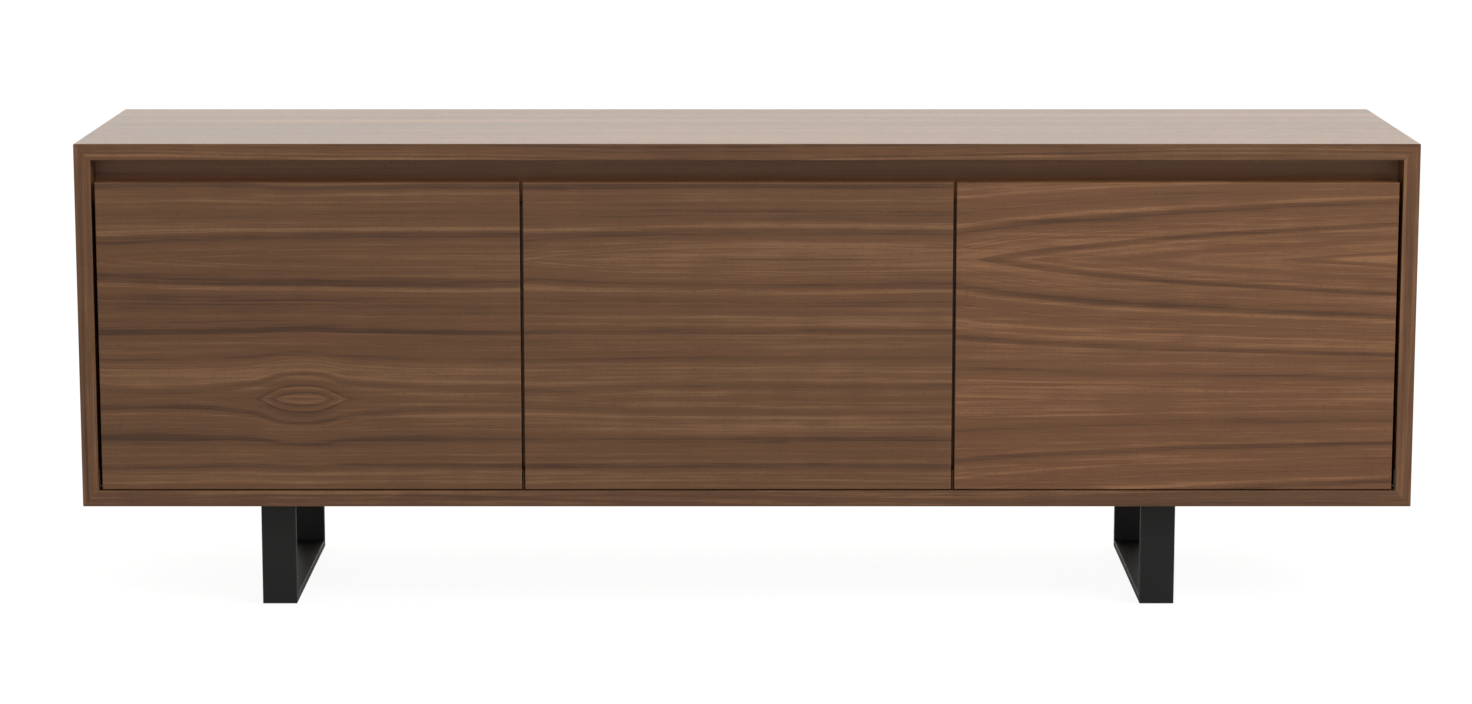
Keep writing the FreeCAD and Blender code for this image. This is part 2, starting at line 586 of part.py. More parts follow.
def make_catches():
    """Magnetic catches on the finger rail, and the steel strikes that they hold, two to a flap."""
    housings = []
    magnets = []
    low = f"({RAIL_LOW} + CatchLow)"
    middle = f"({low} + CatchHeight / 2)"
    face = f"({FLAP_BACK} + StrikePlate + FaceGap)"
    for bay, (_, _, left_end, right_end) in BAYS.items():
        strikes = []
        for side, x in (("left", f"({left_end} + CatchInset)"), ("right", f"({right_end} - CatchInset)")):
            name = f"{bay}_{side}"
            body = box(f"{name}_catch_body", (f"{x} - CatchWidth / 2", face, low),
                       (f"{x} + CatchWidth / 2", RAIL_FACE, f"{low} + CatchHeight"))
            magnet = box(f"{name}_magnet", (f"{x} - MagnetWidth / 2", face, f"{middle} - MagnetHeight / 2"),
                         (f"{x} + MagnetWidth / 2", f"{face} + MagnetDepth", f"{middle} + MagnetHeight / 2"))
            housings.append(cut(f"{name}_catch", body, [magnet]))
            magnets.append(magnet)
            strikes.append(box(f"{name}_strike", (f"{x} - StrikeWidth / 2", FLAP_BACK, low),
                               (f"{x} + StrikeWidth / 2", f"{FLAP_BACK} + StrikePlate", f"{low} + CatchHeight")))
        keep(group(f"{bay}_strike_plates", strikes), f"{bay}_strike_plates")
    keep(group("magnetic_catches", housings), "magnetic_catches")
    keep(group("catch_magnets", magnets), "catch_magnets")


# ---------------------------------------------------------------- legs

def make_leg(side, x, leg_screws):
    """A closed loop of flat bar, four lengths mitred at the corners and welded."""
    low = "(GlideCap)"
    outside = [(LEG_FRONT, low), (LEG_REAR, low), (LEG_REAR, UNDER), (LEG_FRONT, UNDER)]
    inside = [(f"{LEG_FRONT} + LegBar", f"{low} + LegBar"), (f"{LEG_REAR} - LegBar", f"{low} + LegBar"),
              (f"{LEG_REAR} - LegBar", f"{UNDER} - LegBar"), (f"{LEG_FRONT} + LegBar", f"{UNDER} - LegBar")]
    stems = []
    glides = []
    for place, y in (("front", f"({LEG_FRONT} + GlideInset)"), ("rear", f"({LEG_REAR} - GlideInset)")):
        stem = rod(f"{side}_{place}_glide_stem", "z", (x, y, "GlideCap / 2"), "GlideStem", "GlideCap / 2 + GlideBite")
        cap = rod(f"{side}_{place}_glide_cap", "z", (x, y, "0"), "GlideRadius", "GlideCap")
        stems.append(stem)
        glides.append(fuse(f"{side}_{place}_glide", [stem, cap]))
    for index, (part, tools) in enumerate((("runner", stems), ("rear_post", []), ("top_bar", [leg_screws]),
                                           ("front_post", []))):
        after = (index + 1) % 4
        outline = [outside[index], outside[after], inside[after], inside[index]]
        label = f"{side}_leg_{part}"
        bar = extruded(label, "YZ_Plane", outline, "LegWidth", f"{x} - LegWidth / 2")
        soften(bar, along("z" if "post" in part else "y", 60), "LegArris")
        keep(cut(label, bar, tools) if tools else bar, label)
    return glides


# ---------------------------------------------------------------- the whole cabinet

mitre_splines = make_splines()
divider_dowels = make_dowels()
shelf_pins = make_shelf_pins()
stay_studs = make_studs()
back_panel_screws = make_back_screws()
screws_of_legs = make_leg_screws()
pivot_tongues = make_pivots()
make_case(mitre_splines, divider_dowels, shelf_pins, stay_studs, back_panel_screws, screws_of_legs,
          pivot_tongues)
make_backs(back_panel_screws)
make_shelves()
for bay_name, (_, _, flap_left, flap_right) in BAYS.items():
    make_flap(bay_name, flap_left, flap_right)
brackets = all_bays(make_bracket)
for bay_name in BAYS:
    pair = [brackets[bay_name, "left"], brackets[bay_name, "right"]]
    keep(group(f"{bay_name}_stay_brackets", pair), f"{bay_name}_stay_brackets")
all_bays(make_stay)
make_catches()
all_glides = make_leg("left", "LeftLegX", screws_of_legs) + make_leg("right", "RightLegX", screws_of_legs)
keep(group("leg_glides", all_glides), "leg_glides")

doc.recompute()

for thing in doc.Objects:
    if "Invalid" in thing.State or "Error" in thing.State:
        raise RuntimeError(f"{thing.Label} did not build: {thing.State}")
for piece in subparts:
    if piece.Shape.isNull() or not piece.Shape.isValid() or piece.Shape.Volume <= 0:
        raise RuntimeError(f"{piece.Label} has no valid shape")

os.makedirs("parts", exist_ok=True)
for piece in subparts:
    piece.Shape.exportStep(f"parts/{piece.Label}.step")
print(len(subparts), "sub-parts written")
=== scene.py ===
"""The looks of the media cabinet: book-matched walnut, black steel legs and the small hardware."""
import math
import bpy
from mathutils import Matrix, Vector


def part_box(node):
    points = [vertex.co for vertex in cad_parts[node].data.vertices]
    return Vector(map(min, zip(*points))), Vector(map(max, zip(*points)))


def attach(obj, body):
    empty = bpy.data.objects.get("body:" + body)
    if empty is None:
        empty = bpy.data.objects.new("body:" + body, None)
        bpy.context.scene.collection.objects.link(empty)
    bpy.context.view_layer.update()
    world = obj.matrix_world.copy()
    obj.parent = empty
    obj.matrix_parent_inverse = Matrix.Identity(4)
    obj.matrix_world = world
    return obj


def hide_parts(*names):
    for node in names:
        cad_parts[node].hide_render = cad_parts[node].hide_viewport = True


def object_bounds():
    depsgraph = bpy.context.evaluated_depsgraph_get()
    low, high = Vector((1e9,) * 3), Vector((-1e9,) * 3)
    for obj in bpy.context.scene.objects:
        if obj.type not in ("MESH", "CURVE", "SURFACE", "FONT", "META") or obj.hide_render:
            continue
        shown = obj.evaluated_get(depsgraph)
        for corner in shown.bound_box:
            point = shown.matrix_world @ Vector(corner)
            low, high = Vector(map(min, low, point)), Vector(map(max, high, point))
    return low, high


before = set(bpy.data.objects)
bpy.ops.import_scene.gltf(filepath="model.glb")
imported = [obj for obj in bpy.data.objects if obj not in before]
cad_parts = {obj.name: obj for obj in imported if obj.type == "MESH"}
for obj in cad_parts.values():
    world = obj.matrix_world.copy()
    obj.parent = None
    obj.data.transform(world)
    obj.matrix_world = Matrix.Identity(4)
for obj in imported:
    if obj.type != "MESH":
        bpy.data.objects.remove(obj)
cad_low, cad_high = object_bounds()


# ---------------------------------------------------------------- the four case boards
# Top, floor and sides of 22 mm board, faced with satin-lacquered walnut and mitred at the corners.
# The grain runs along the top and the floor and up the two sides; hidden splines hold the mitres.

WALNUT_DARK = (0.071, 0.0285, 0.0098)
WALNUT_MID = (0.151, 0.0660, 0.0255)
WALNUT_LIGHT = (0.264, 0.1310, 0.0590)
PORE = (0.030, 0.0125, 0.0050)
ARRIS_REACH = 0.0016
SATIN = 0.30


def new_node(tree, kind, **settings):
    """A node of a tree with its settings given by name."""
    made = tree.nodes.new(kind)
    for setting, value in settings.items():
        setattr(made, setting, value)
    return made


def feed(tree, socket, value):
    """Joins a socket to another socket, or sets it to a plain value."""
    if isinstance(value, bpy.types.NodeSocket):
        tree.links.new(value, socket)
    elif socket.type == "RGBA" and len(value) == 3:
        socket.default_value = (*value, 1)
    else:
        socket.default_value = value


def calc(tree, operation, *values):
    """One Math node over plain values or sockets."""
    made = new_node(tree, "ShaderNodeMath", operation=operation)
    for socket, value in zip(made.inputs, values):
        feed(tree, socket, value)
    return made.outputs[0]


def vector_calc(tree, operation, *values):
    made = new_node(tree, "ShaderNodeVectorMath", operation=operation)
    for socket, value in zip(made.inputs, values):
        feed(tree, socket, value)
    return made.outputs[0]


def noise(tree, point, stretch, seed, detail=2.0, roughness=0.5):
    """Noise between 0 and 1 in a space stretched by a vector; the seed moves it elsewhere."""
    scaled = vector_calc(tree, "MULTIPLY", point, stretch)
    made = new_node(tree, "ShaderNodeTexNoise", noise_dimensions="4D")
    feed(tree, made.inputs["Vector"], scaled)
    feed(tree, made.inputs["W"], seed)
    made.inputs["Scale"].default_value = 1
    made.inputs["Detail"].default_value = detail
    made.inputs["Roughness"].default_value = roughness
    return made.outputs[0]


def line_noise(tree, along, per_metre, seed, detail=2.0):
    """Noise between 0 and 1 that changes along one value only."""
    made = new_node(tree, "ShaderNodeTexNoise", noise_dimensions="1D")
    feed(tree, made.inputs["W"], calc(tree, "MULTIPLY_ADD", along, per_metre, seed))
    made.inputs["Scale"].default_value = 1
    made.inputs["Detail"].default_value = detail
    return made.outputs[0]


def tint(tree, factor, first, second, blend="MIX"):
    """One colour mixed into another."""
    made = new_node(tree, "ShaderNodeMix", data_type="RGBA", blend_type=blend)
    feed(tree, made.inputs[0], factor)
    feed(tree, made.inputs[6], first)
    feed(tree, made.inputs[7], second)
    return made.outputs[2]


def remap(tree, value, low, high, to_low=0.0, to_high=1.0):
    made = new_node(tree, "ShaderNodeMapRange", interpolation_type="SMOOTHSTEP")
    for socket, given in zip(made.inputs, (value, low, high, to_low, to_high)):
        feed(tree, socket, given)
    return made.outputs[0]


def new_group(name, takes, gives, kind_of_tree="ShaderNodeTree"):
    """An empty group with named sockets, each given as (name, kind, starting value)."""
    tree = bpy.data.node_groups.new(name, kind_of_tree)
    for label, kind, start in takes:
        socket = tree.interface.new_socket(name=label, in_out="INPUT", socket_type="NodeSocket" + kind)
        if start is not None:
            socket.default_value = (*start, 1) if kind == "Color" else start
    for label, kind in gives:
        tree.interface.new_socket(name=label, in_out="OUTPUT", socket_type="NodeSocket" + kind)
    source = new_node(tree, "NodeGroupInput").outputs
    sink = new_node(tree, "NodeGroupOutput").inputs
    return tree, source, sink


def use_group(tree, group, **values):
    """A group placed in a tree; underscores in the names given stand for spaces."""
    made = new_node(tree, "ShaderNodeGroup", node_tree=group)
    for label, value in values.items():
        feed(tree, made.inputs[label.replace("_", " ")], value)
    return made.outputs


def edge_wear_group():
    """How near a point of a boxy piece is to one of its edges, broken up as rubbing breaks it."""
    tree, source, sink = new_group(
        "edge_wear",
        (("Point", "Vector", None), ("Low", "Vector", None), ("High", "Vector", None),
         ("Reach", "Float", ARRIS_REACH), ("Patchiness", "Float", 0.5), ("Seed", "Float", 0)),
        (("Wear", "Float"),))
    inside = vector_calc(tree, "MINIMUM",
                         vector_calc(tree, "SUBTRACT", source["Point"], source["Low"]),
                         vector_calc(tree, "SUBTRACT", source["High"], source["Point"]))
    parts = new_node(tree, "ShaderNodeSeparateXYZ")
    feed(tree, parts.inputs[0], inside)
    x, y, z = parts.outputs
    second = calc(tree, "MAXIMUM", calc(tree, "MINIMUM", x, y),
                  calc(tree, "MINIMUM", calc(tree, "MAXIMUM", x, y), z))
    near = remap(tree, second, 0.0, source["Reach"], 1.0, 0.0)
    patches = remap(tree, noise(tree, source["Point"], (60, 60, 60), source["Seed"]), 0.35, 0.65)
    kept = calc(tree, "SUBTRACT", 1.0, calc(tree, "MULTIPLY", source["Patchiness"], patches))
    feed(tree, sink["Wear"], calc(tree, "MULTIPLY", near, kept))
    return tree


def walnut_group():
    """Walnut under satin lacquer: growth bands by the ring value, fibres and pores along X."""
    tree, source, sink = new_group(
        "walnut",
        (("Point", "Vector", None), ("Ring", "Float", 0), ("Figure", "Float", 0.5),
         ("Figure Strength", "Float", 0), ("Band Strength", "Float", 1), ("Seed", "Float", 0),
         ("Contrast", "Float", 1),
         ("Dark", "Color", WALNUT_DARK), ("Mid", "Color", WALNUT_MID), ("Light", "Color", WALNUT_LIGHT),
         ("Wear", "Float", 0), ("Gloss", "Float", SATIN)),
        (("Color", "Color"), ("Roughness", "Float"), ("Height", "Float")))
    point, ring, seed = source["Point"], source["Ring"], source["Seed"]
    broad = line_noise(tree, ring, 24, seed, 1)
    bands = line_noise(tree, ring, 95, seed, 2)
    lines = line_noise(tree, ring, 420, seed, 2)
    veil = noise(tree, point, (1.3, 16, 16), seed, 2)
    streaks = noise(tree, point, (3.2, 210, 210), seed, 3, 0.6)
    fibres = noise(tree, point, (16, 900, 900), seed, 3, 0.6)
    mottle = noise(tree, point, (22, 30, 30), seed, 2)
    tone = 0.0
    for part, share in ((broad, 0.45), (bands, 0.90), (lines, 0.30)):
        tone = calc(tree, "MULTIPLY_ADD", calc(tree, "SUBTRACT", part, 0.5), share, tone)
    tone = calc(tree, "MULTIPLY", tone, source["Band Strength"])
    figure = calc(tree, "SUBTRACT", source["Figure"], 0.5)
    tone = calc(tree, "MULTIPLY_ADD", figure, source["Figure Strength"], tone)
    for part, share in ((lines, 0.20), (veil, 0.65), (streaks, 0.85), (fibres, 0.65), (mottle, 0.25)):
        tone = calc(tree, "MULTIPLY_ADD", calc(tree, "SUBTRACT", part, 0.5), share, tone)
    tone = calc(tree, "MULTIPLY_ADD", tone, source["Contrast"], 0.5)
    lower = remap(tree, tone, 0.0, 0.5)
    upper = remap(tree, tone, 0.5, 1.0)
    colour = tint(tree, upper, tint(tree, lower, source["Dark"], source["Mid"]), source["Light"])
    warmth = noise(tree, point, (1.1, 5, 5), calc(tree, "ADD", seed, 31.7), 1)
    colour = tint(tree, remap(tree, warmth, 0.3, 0.7, 0.0, 0.22), colour, (1.0, 0.86, 0.72), "MULTIPLY")
    dashes = noise(tree, point, (120, 2600, 2600), calc(tree, "ADD", seed, 5.3), 1)
    early = remap(tree, bands, 0.35, 0.65, 0.66, 0.60)
    pores = remap(tree, dashes, early, calc(tree, "ADD", early, 0.05))
    colour = tint(tree, calc(tree, "MULTIPLY", pores, 0.55), colour, PORE)
    rubbed = tint(tree, 0.35, colour, source["Light"])
    feed(tree, sink["Color"], tint(tree, calc(tree, "MULTIPLY", source["Wear"], 0.5), colour, rubbed))
    rough = calc(tree, "MULTIPLY_ADD", calc(tree, "SUBTRACT", streaks, 0.5), 0.10, source["Gloss"])
    rough = calc(tree, "MULTIPLY_ADD", pores, 0.12, rough)
    feed(tree, sink["Roughness"], calc(tree, "MULTIPLY_ADD", source["Wear"], -0.05, rough))
    raised = calc(tree, "MULTIPLY_ADD", pores, -0.8, calc(tree, "MULTIPLY", fibres, 0.45))
    feed(tree, sink["Height"], calc(tree, "MULTIPLY_ADD", lines, 0.2, raised))
    return tree


edge_wear = edge_wear_group()
walnut = walnut_group()


def principled(name, **constants):
    """A new material: its tree, its shader and its object coordinates."""
    material = bpy.data.materials.new(name)
    material.use_nodes = True
    tree = material.node_tree
    shader = tree.nodes["Principled BSDF"]
    for label, value in constants.items():
        shader.inputs[label.replace("_", " ")].default_value = value
    here = new_node(tree, "ShaderNodeTexCoord").outputs["Object"]
    return material, tree, shader, here


def bump(tree, shader, height, depth, strength=1.0):
    """Relief of a given depth in metres from a height between 0 and 1."""
    made = new_node(tree, "ShaderNodeBump")
    made.inputs["Strength"].default_value = strength
    made.inputs["Distance"].default_value = depth
    feed(tree, made.inputs["Height"], height)
    feed(tree, shader.inputs["Normal"], made.outputs[0])


def reordered(tree, vector, order):
    """The same vector with its parts in another order: along the grain, across it, through it."""
    parts = new_node(tree, "ShaderNodeSeparateXYZ")
    feed(tree, parts.inputs[0], vector)
    joined = new_node(tree, "ShaderNodeCombineXYZ")
    for place, letter in enumerate(order):
        feed(tree, joined.inputs[place], parts.outputs[letter])
    return joined.outputs[0], parts.outputs


def wear_of(tree, node, here, reach=ARRIS_REACH, patchiness=0.5, seed=0.0):
    low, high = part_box(node)
    return use_group(tree, edge_wear, Point=here, Low=low, High=high, Reach=reach,
                     Patchiness=patchiness, Seed=seed)["Wear"]


def veneered(node, order, seed, sway=0.010, **looks):
    """Walnut veneer over a whole board; its growth bands sway slowly from side to side."""
    material, tree, shader, here = principled(node + "_veneer", IOR=1.5)
    point, parts = reordered(tree, here, order)
    drift = noise(tree, point, (1.0, 5, 5), seed, 1)
    ripple = noise(tree, point, (6, 30, 30), seed, 1)
    ring = calc(tree, "MULTIPLY_ADD", parts[order[2]], 0.7, parts[order[1]])
    ring = calc(tree, "MULTIPLY_ADD", calc(tree, "SUBTRACT", drift, 0.5), sway * 4, ring)
    ring = calc(tree, "MULTIPLY_ADD", calc(tree, "SUBTRACT", ripple, 0.5), sway * 0.4, ring)
    look = use_group(tree, walnut, Point=point, Ring=ring, Seed=seed, Wear=wear_of(tree, node, here), **looks)
    feed(tree, shader.inputs["Base Color"], look["Color"])
    feed(tree, shader.inputs["Roughness"], look["Roughness"])
    bump(tree, shader, look["Height"], 0.00012, 0.5)
    dress(node, material)


def dress(node, material):
    """Gives a CAD piece its finish."""
    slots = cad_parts[node].data.materials
    if not slots:
        slots.append(material)
    for place in range(len(slots)):
        slots[place] = material


veneered("top_panel", "XYZ", 1.3, Contrast=1.4)
# The floor board gets a darker middle tone than the other boards: painted shade on its front edge, which the
# light from above leaves darker.
veneered("bottom_panel", "XYZ", 4.1, Contrast=1.4, Mid=(0.130, 0.0575, 0.0232))
veneered("left_side_panel", "ZYX", 7.9, sway=0.016, Contrast=1.4)
veneered("right_side_panel", "ZYX", 12.6, sway=0.016, Contrast=1.4)


# ---------------------------------------------------------------- dividers, finger rail, shelves and backs
# The inside of the case: two upright dividers, the rail behind the finger gap, three loose shelves on
# pins, and three thin back panels screwed into a rabbet.  All are faced with plainer walnut.

# The rail's walnut is lighter and warmer than the other boards': painted light that lifts the shade in the
# finger recess.
veneered("finger_rail", "XZY", 3.7, Contrast=0.8, Dark=(0.120, 0.0440, 0.0150), Mid=(0.250, 0.0980, 0.0340),
         Light=(0.360, 0.1600, 0.0620))
for place, side in enumerate(("left", "right")):
    veneered(side + "_divider", "ZYX", 21.3 + place, Contrast=0.8)
for place, bay in enumerate(("left", "centre", "right")):
    veneered(bay + "_shelf", "XYZ", 31.9 + 3 * place, Contrast=0.8)
    veneered(bay + "_back_panel", "XZY", 52.4 + 3 * place, sway=0.014, Contrast=0.9)


# ---------------------------------------------------------------- the three fronts
# Drop-down flaps of 20 mm board.  Their walnut is book-matched: each leaf of veneer is turned over
# along its long edge, so that the figure mirrors about two level lines that run through all three.

LEAF = 0.190
MATCH_HIGH = 0.484
LINE_SPACING = 0.036
LARGEST_SWELL = 0.100
FRONT_SEED = 9.8
FRONT_DRIFT, FRONT_RIPPLE = 0.008, 0.003

# How far the bands swell away from the upper and from the lower match line, in mm, at places along
# a flap from its left end, 0, to its right end, 1.  The reach says how far from the line it is felt.
FIGURES = {
    "left": (((0.0, -15), (0.5, 0), (1.0, 0)), 0.035,
             ((0.0, 0), (0.35, 10), (0.48, 55), (0.6, 15), (1.0, 0)), 0.035),
    "centre": (((0.0, -10), (0.45, 10), (1.0, 5)), 0.050,
               ((0.0, -5), (0.3, 5), (1.0, 5)), 0.050),
    "right": (((0.0, 0), (0.25, 30), (1.0, 95)), 0.100,
              ((0.0, -20), (1.0, -10)), 0.080),
}


def book_match_group():
    """The ring value of a mirrored leaf, from the height and the swell at both match lines."""
    tree, source, sink = new_group(
        "book_match",
        (("Height", "Float", 0), ("Upper Swell", "Float", 0), ("Upper Reach", "Float", 0.05),
         ("Lower Swell", "Float", 0), ("Lower Reach", "Float", 0.05)),
        (("Ring", "Float"),))
    from_upper = calc(tree, "PINGPONG", calc(tree, "SUBTRACT", source["Height"], MATCH_HIGH), LEAF)
    from_lower = calc(tree, "SUBTRACT", LEAF, from_upper)
    ring = from_upper
    for distance, label, sign in ((from_upper, "Upper", -1), (from_lower, "Lower", 1)):
        felt = calc(tree, "DIVIDE", distance, source[label + " Reach"])
        felt = calc(tree, "EXPONENT", calc(tree, "MULTIPLY", felt, -1.0))
        swell = calc(tree, "MULTIPLY", felt, source[label + " Swell"])
        ring = calc(tree, "MULTIPLY_ADD", swell, sign, ring)
    feed(tree, sink["Ring"], ring)
    return tree


book_match = book_match_group()


def profile(tree, along, points):
    """A smooth line through listed (place, mm) points, given back in metres."""
    made = new_node(tree, "ShaderNodeFloatCurve")
    feed(tree, made.inputs["Value"], along)
    curve = made.mapping.curves[0]
    heights = [(place, 0.5 + mm / 1000 / (2 * LARGEST_SWELL)) for place, mm in points]
    curve.points[0].location = heights[0]
    curve.points[1].location = heights[-1]
    for place in heights[1:-1]:
        curve.points.new(*place)
    made.mapping.update()
    return calc(tree, "MULTIPLY", calc(tree, "SUBTRACT", made.outputs[0], 0.5), 2 * LARGEST_SWELL)


def late_wood_group():
    """Dark late-wood lines that darken slowly and end sharply, unevenly spaced and unevenly deep."""
    tree, source, sink = new_group(
        "late_wood",
        (("Ring", "Float", 0), ("Spacing", "Float", LINE_SPACING), ("Seed", "Float", 0)),
        (("Tone", "Float"),))
    ring, seed = source["Ring"], source["Seed"]
    wander = calc(tree, "SUBTRACT", line_noise(tree, ring, 17, seed, 1), 0.5)
    years = calc(tree, "MULTIPLY_ADD", wander, 1.8, calc(tree, "DIVIDE", ring, source["Spacing"]))
    phase = calc(tree, "FRACT", years)
    darkens = remap(tree, phase, 0.35, 0.86)
    ends = remap(tree, phase, 0.86, 1.0, 1.0, 0.0)
    depth = remap(tree, line_noise(tree, ring, 11, calc(tree, "ADD", seed, 8.4), 1), 0.35, 0.65, 0.25, 1.0)
    line = calc(tree, "MULTIPLY", calc(tree, "MULTIPLY", darkens, ends), depth)
    feed(tree, sink["Tone"], calc(tree, "MULTIPLY_ADD", line, -0.60, 0.62))
    return tree


late_wood = late_wood_group()


def matched_front(bay, **looks):
    """A flap's walnut, with its own run of the matched figure."""
    node = bay + "_flap"
    low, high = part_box(node)
    upper, upper_reach, lower, lower_reach = FIGURES[bay]
    material, tree, shader, here = principled(node + "_veneer", IOR=1.5)
    point, parts = reordered(tree, here, "XZY")
    along = calc(tree, "DIVIDE", calc(tree, "SUBTRACT", parts["X"], low.x), high.x - low.x)
    drift = noise(tree, point, (2.4, 8, 8), FRONT_SEED, 1)
    ripple = noise(tree, point, (9, 45, 45), FRONT_SEED, 1)
    ring = use_group(tree, book_match, Height=parts["Z"],
                     Upper_Swell=profile(tree, along, upper), Upper_Reach=upper_reach,
                     Lower_Swell=profile(tree, along, lower), Lower_Reach=lower_reach)["Ring"]
    ring = calc(tree, "MULTIPLY_ADD", calc(tree, "SUBTRACT", drift, 0.5), FRONT_DRIFT, ring)
    ring = calc(tree, "MULTIPLY_ADD", calc(tree, "SUBTRACT", ripple, 0.5), FRONT_RIPPLE, ring)
    lines = use_group(tree, late_wood, Ring=ring, Seed=FRONT_SEED)["Tone"]
    look = use_group(tree, walnut, Point=point, Ring=ring, Figure=lines, Figure_Strength=0.85,
                     Band_Strength=0.60, Seed=FRONT_SEED, Wear=wear_of(tree, node, here), **looks)
    feed(tree, shader.inputs["Base Color"], look["Color"])
    feed(tree, shader.inputs["Roughness"], look["Roughness"])
    bump(tree, shader, look["Height"], 0.00012, 0.5)
    dress(node, material)


matched_front("left")
matched_front("centre")
# The right flap gets a lighter copy of the front walnut: painted light that stands for the stronger light
# falling from the right.
matched_front("right", Dark=(0.084, 0.0340, 0.0120), Mid=(0.171, 0.0740, 0.0287),
              Light=(0.308, 0.1480, 0.0655))


# ---------------------------------------------------------------- the legs
# Two closed loops of 47 x 10 mm flat bar, mitred, welded, ground flush and powder-coated satin black.
# Socket-headed bolts through the top bars hold them to the case floor; plastic glides sit under the runners.

COAT_BLACK = (0.0045, 0.0045, 0.0047)
COAT_CLOUD = (0.0095, 0.0094, 0.0096)
COAT_RUBBED = (0.030, 0.030, 0.031)


def coated_steel(node, seed):
    """Fine-grained powder coat, a little polished where it is handled or kicked."""
    material, tree, shader, here = principled(node + "_coat", IOR=1.45)
    orange_peel = noise(tree, here, (900, 900, 900), seed, 2)
    clouds = noise(tree, here, (14, 14, 5), seed, 2)
    wear = wear_of(tree, node, here, 0.0022, 0.8, seed)
    colour = tint(tree, clouds, COAT_BLACK, COAT_CLOUD)
    feed(tree, shader.inputs["Base Color"], tint(tree, wear, colour, COAT_RUBBED))
    rough = calc(tree, "MULTIPLY_ADD", clouds, 0.10, 0.40)
    feed(tree, shader.inputs["Roughness"], calc(tree, "MULTIPLY_ADD", wear, -0.08, rough))
    bump(tree, shader, orange_peel, 0.00010, 0.5)
    dress(node, material)


for side in ("left", "right"):
    for place, part in enumerate(("front_post", "rear_post", "runner", "top_bar")):
        coated_steel(f"{side}_leg_{part}", 3.0 * place + (side == "right"))


# ---------------------------------------------------------------- hinges, stays and catches
# Plated steel: pivot plates with riveted pins, slotted stays on riveted brackets, shouldered studs,
# strike plates and pins.  Moulded black plastic: bushes, grommets, catch housings and glides.

NICKEL = (0.42, 0.40, 0.37)
BLACK_PLATE = (0.050, 0.049, 0.048)
BRONZE = (0.075, 0.047, 0.029)
PLASTIC = (0.0120, 0.0120, 0.0125)
FERRITE = (0.030, 0.029, 0.030)


def plated(name, colour, seed, rough=0.30):
    """Rolled and plated steel with fine lines along X and faint stains."""
    material, tree, shader, here = principled(name, Metallic=1.0, IOR=1.5)
    lines = noise(tree, here, (120, 2600, 2600), seed, 2)
    stains = noise(tree, here, (45, 45, 45), seed, 3)
    dull = tuple(part * 0.72 for part in colour)
    feed(tree, shader.inputs["Base Color"], tint(tree, remap(tree, stains, 0.35, 0.7), colour, dull))
    worn = calc(tree, "MULTIPLY_ADD", stains, 0.16, rough - 0.06)
    feed(tree, shader.inputs["Roughness"], calc(tree, "MULTIPLY_ADD", lines, 0.08, worn))
    bump(tree, shader, lines, 0.00003, 0.4)
    return material


def moulded(name, colour, seed):
    """Spark-textured moulded plastic."""
    material, tree, shader, here = principled(name, IOR=1.46)
    texture = noise(tree, here, (1500, 1500, 1500), seed, 2)
    flow = noise(tree, here, (35, 35, 35), seed, 2)
    light = tuple(part * 1.7 for part in colour)
    feed(tree, shader.inputs["Base Color"], tint(tree, flow, colour, light))
    feed(tree, shader.inputs["Roughness"], calc(tree, "MULTIPLY_ADD", flow, 0.16, 0.38))
    bump(tree, shader, texture, 0.00006, 0.5)
    return material


black_plate = plated("black_nickel_plate", BLACK_PLATE, 1.1, 0.34)
nickel = plated("nickel_plate", NICKEL, 2.1, 0.26)
bronze = plated("bronze_plate", BRONZE, 5.1, 0.38)
plastic = moulded("black_moulding", PLASTIC, 3.1)
ferrite = moulded("ferrite", FERRITE, 4.1)
for bay in ("left", "centre", "right"):
    for part in ("left_stay", "right_stay", "stay_brackets"):
        dress(f"{bay}_{part}", black_plate)
    dress(bay + "_strike_plates", nickel)
    dress(bay + "_pivot_bushes", plastic)
    dress(bay + "_cable_grommet", plastic)
for node in ("left_end_pivot", "right_end_pivot", "left_mid_pivot", "right_mid_pivot"):
    dress(node, bronze)
for node in ("stay_studs", "leg_screws"):
    dress(node, black_plate)
for node in ("shelf_pins", "back_panel_screws"):
    dress(node, nickel)
for node in ("magnetic_catches", "leg_glides"):
    dress(node, plastic)
dress("catch_magnets", ferrite)


# ---------------------------------------------------------------- screws
# Plated wood screws with a low round head: cross-recessed in the thin back panels, plates, brackets and
# catches, socket-headed under the legs.  Every screw is driven to its own angle.

FACING = {"+X": (0, math.pi / 2, 0), "-X": (0, -math.pi / 2, 0), "+Y": (-math.pi / 2, 0, 0),
          "-Y": (math.pi / 2, 0, 0), "-Z": (math.pi, 0, 0)}


def shape(tree, kind, settings=None, **values):
    """One Geometry Nodes node with its inputs given by name."""
    made = new_node(tree, kind, **(settings or {}))
    for label, value in values.items():
        feed(tree, made.inputs[label.replace("_", " ")], value)
    return made.outputs[0]


def raised(tree, piece, height):
    """A piece moved up by a height."""
    lift = shape(tree, "ShaderNodeCombineXYZ", Z=height)
    return shape(tree, "GeometryNodeTransform", Geometry=piece, Translation=lift)


def united(tree, pieces):
    made = new_node(tree, "GeometryNodeMeshBoolean", operation="UNION", solver="EXACT")
    for piece in pieces:
        tree.links.new(piece, made.inputs["Mesh 2"])
    return made.outputs[0]


def hollowed(tree, piece, tools):
    made = new_node(tree, "GeometryNodeMeshBoolean", operation="DIFFERENCE", solver="EXACT")
    tree.links.new(piece, made.inputs["Mesh 1"])
    for tool in tools:
        tree.links.new(tool, made.inputs["Mesh 2"])
    return made.outputs[0]


